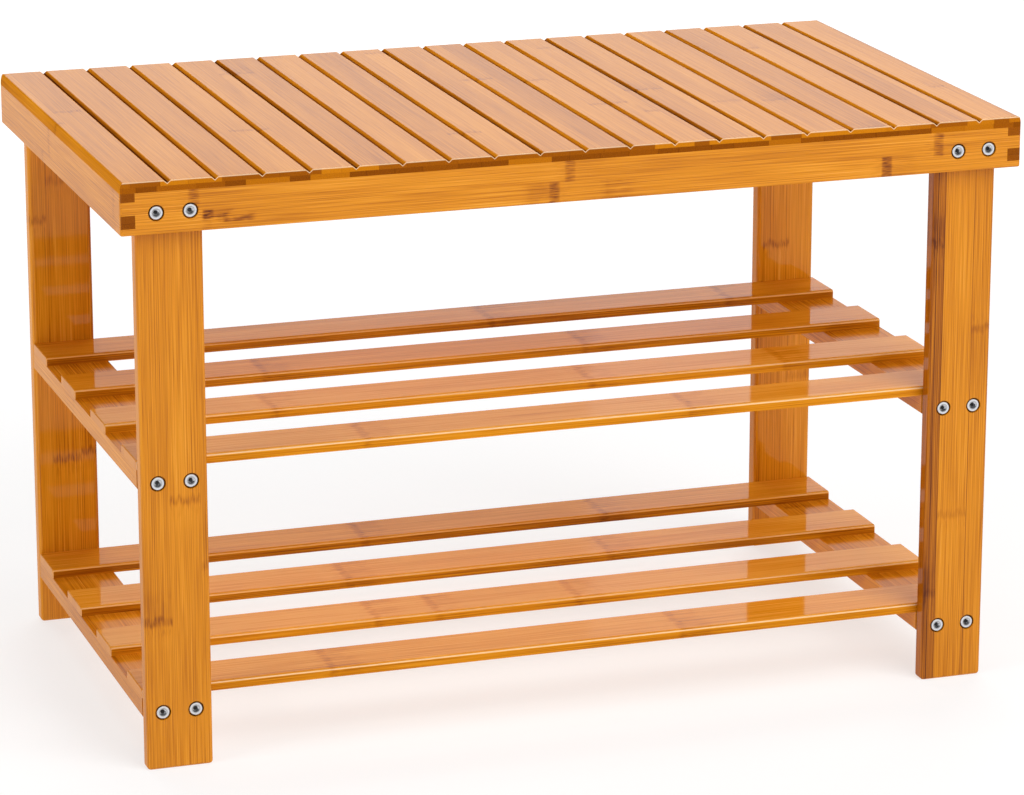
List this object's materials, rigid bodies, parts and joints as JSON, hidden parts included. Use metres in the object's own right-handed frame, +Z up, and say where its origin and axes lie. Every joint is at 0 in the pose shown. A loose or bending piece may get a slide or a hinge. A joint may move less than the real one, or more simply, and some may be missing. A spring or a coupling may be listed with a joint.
{
  "type": "entryway bench",
  "caption": "Free-standing bamboo entryway bench with a grooved seat panel on a finger-jointed frame, flat board legs and open slatted shoe shelves below.",
  "frame": {"origin": "centre of the footprint, on the floor under the bench", "axes": "+X along the bench to the right, +Y from the front to the back, +Z up"},
  "size_m": [0.7, 0.4, 0.45],
  "materials": {
    "bamboo": "clear gloss varnish over honey-coloured bamboo",
    "screw_steel": "bright zinc plating"
  },
  "bodies": {
    "root": {"back_left_leg": "bamboo", "back_right_leg": "bamboo", "front_left_leg": "bamboo", "front_right_leg": "bamboo", "lower_shelf_left_cross_rail": "bamboo", "lower_shelf_right_cross_rail": "bamboo", "lower_shelf_screws": "screw_steel", "lower_shelf_slat_1": "bamboo", "lower_shelf_slat_2": "bamboo", "lower_shelf_slat_3": "bamboo", "lower_shelf_slat_4": "bamboo", "lower_shelf_slat_screws": "screw_steel", "seat_back_rail": "bamboo", "seat_front_rail": "bamboo", "seat_left_end_rail": "bamboo", "seat_panel": "bamboo", "seat_rail_screws": "screw_steel", "seat_right_end_rail": "bamboo", "upper_shelf_left_cross_rail": "bamboo", "upper_shelf_right_cross_rail": "bamboo", "upper_shelf_screws": "screw_steel", "upper_shelf_slat_1": "bamboo", "upper_shelf_slat_2": "bamboo", "upper_shelf_slat_3": "bamboo", "upper_shelf_slat_4": "bamboo", "upper_shelf_slat_screws": "screw_steel"}
  },
  "joints": []
}
